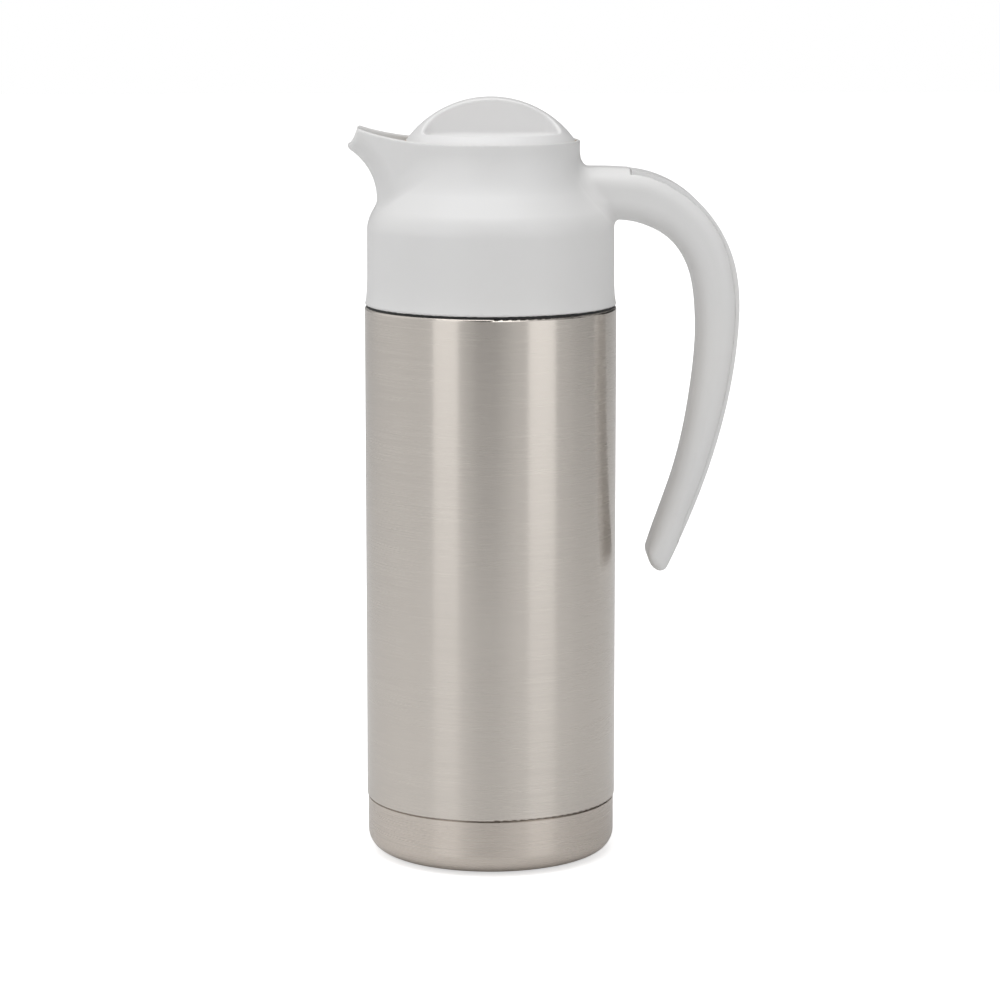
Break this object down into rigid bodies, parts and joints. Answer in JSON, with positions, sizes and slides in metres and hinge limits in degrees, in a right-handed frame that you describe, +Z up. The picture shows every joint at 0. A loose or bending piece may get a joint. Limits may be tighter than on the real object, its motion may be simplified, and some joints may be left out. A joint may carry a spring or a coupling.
{
  "type": "vacuum carafe",
  "caption": "Stainless vacuum carafe with a white moulded shoulder, beak spout, open hook handle and a quarter-turn stopper with a fin grip.",
  "frame": {"origin": "centre of the foot on the body's axis, on the surface that the carafe stands on", "axes": "+Z up along the body; the spout points along -X and the handle along +X"},
  "size_m": [0.1459, 0.0944, 0.2853],
  "materials": {
    "white_plastic": "satin moulded polypropylene with a fine even texture",
    "lid_plastic": "satin moulded polypropylene, slightly smoother than the shoulder",
    "body_steel": "stainless steel brushed round the body",
    "base_steel": "stainless steel brushed round the cup",
    "inner_steel": "stainless steel, electropolished",
    "copper_foil": "bright copper foil",
    "seal_metal": "dull fused metal",
    "dark_gasket": "dark moulded rubber",
    "pad_rubber": "matt rubber with moulded rings",
    "silicone": "translucent white silicone",
    "tan_silicone": "tan silicone",
    "inner_plastic": "natural polypropylene",
    "stopper_plastic": "satin moulded polypropylene",
    "foam": "rigid foam"
  },
  "bodies": {
    "jug": {"base_pad": "pad_rubber", "base_cup": "base_steel", "base_spacer": "inner_plastic", "outer_shell": "body_steel", "outer_bottom": "inner_steel", "vacuum_seal_plug": "seal_metal", "getter": "seal_metal", "inner_bottom": "inner_steel", "inner_flask": "inner_steel", "radiation_foil": "copper_foil", "collar_gasket": "dark_gasket", "neck_gasket": "silicone", "shoulder": "white_plastic", "handle_cover": "white_plastic", "shoulder_lock_ring": "inner_plastic"},
    "stopper_seals": {"stopper_gasket": "silicone", "rim_seal": "tan_silicone"},
    "stopper": {"stopper_body": "stopper_plastic", "stopper_insulation": "foam", "lid_cap": "lid_plastic"}
  },
  "joints": [
    {"name": "stopper_lift", "type": "slide", "parent": "jug", "child": "stopper_seals", "axis": [0, 0, 1], "range_m": [0, 0.078]},
    {"name": "stopper_turn", "type": "hinge", "parent": "stopper_seals", "child": "stopper", "pos_m": [0, 0, 0.266], "axis": [0, 0, 1], "range_deg": [0, 90]}
  ]
}
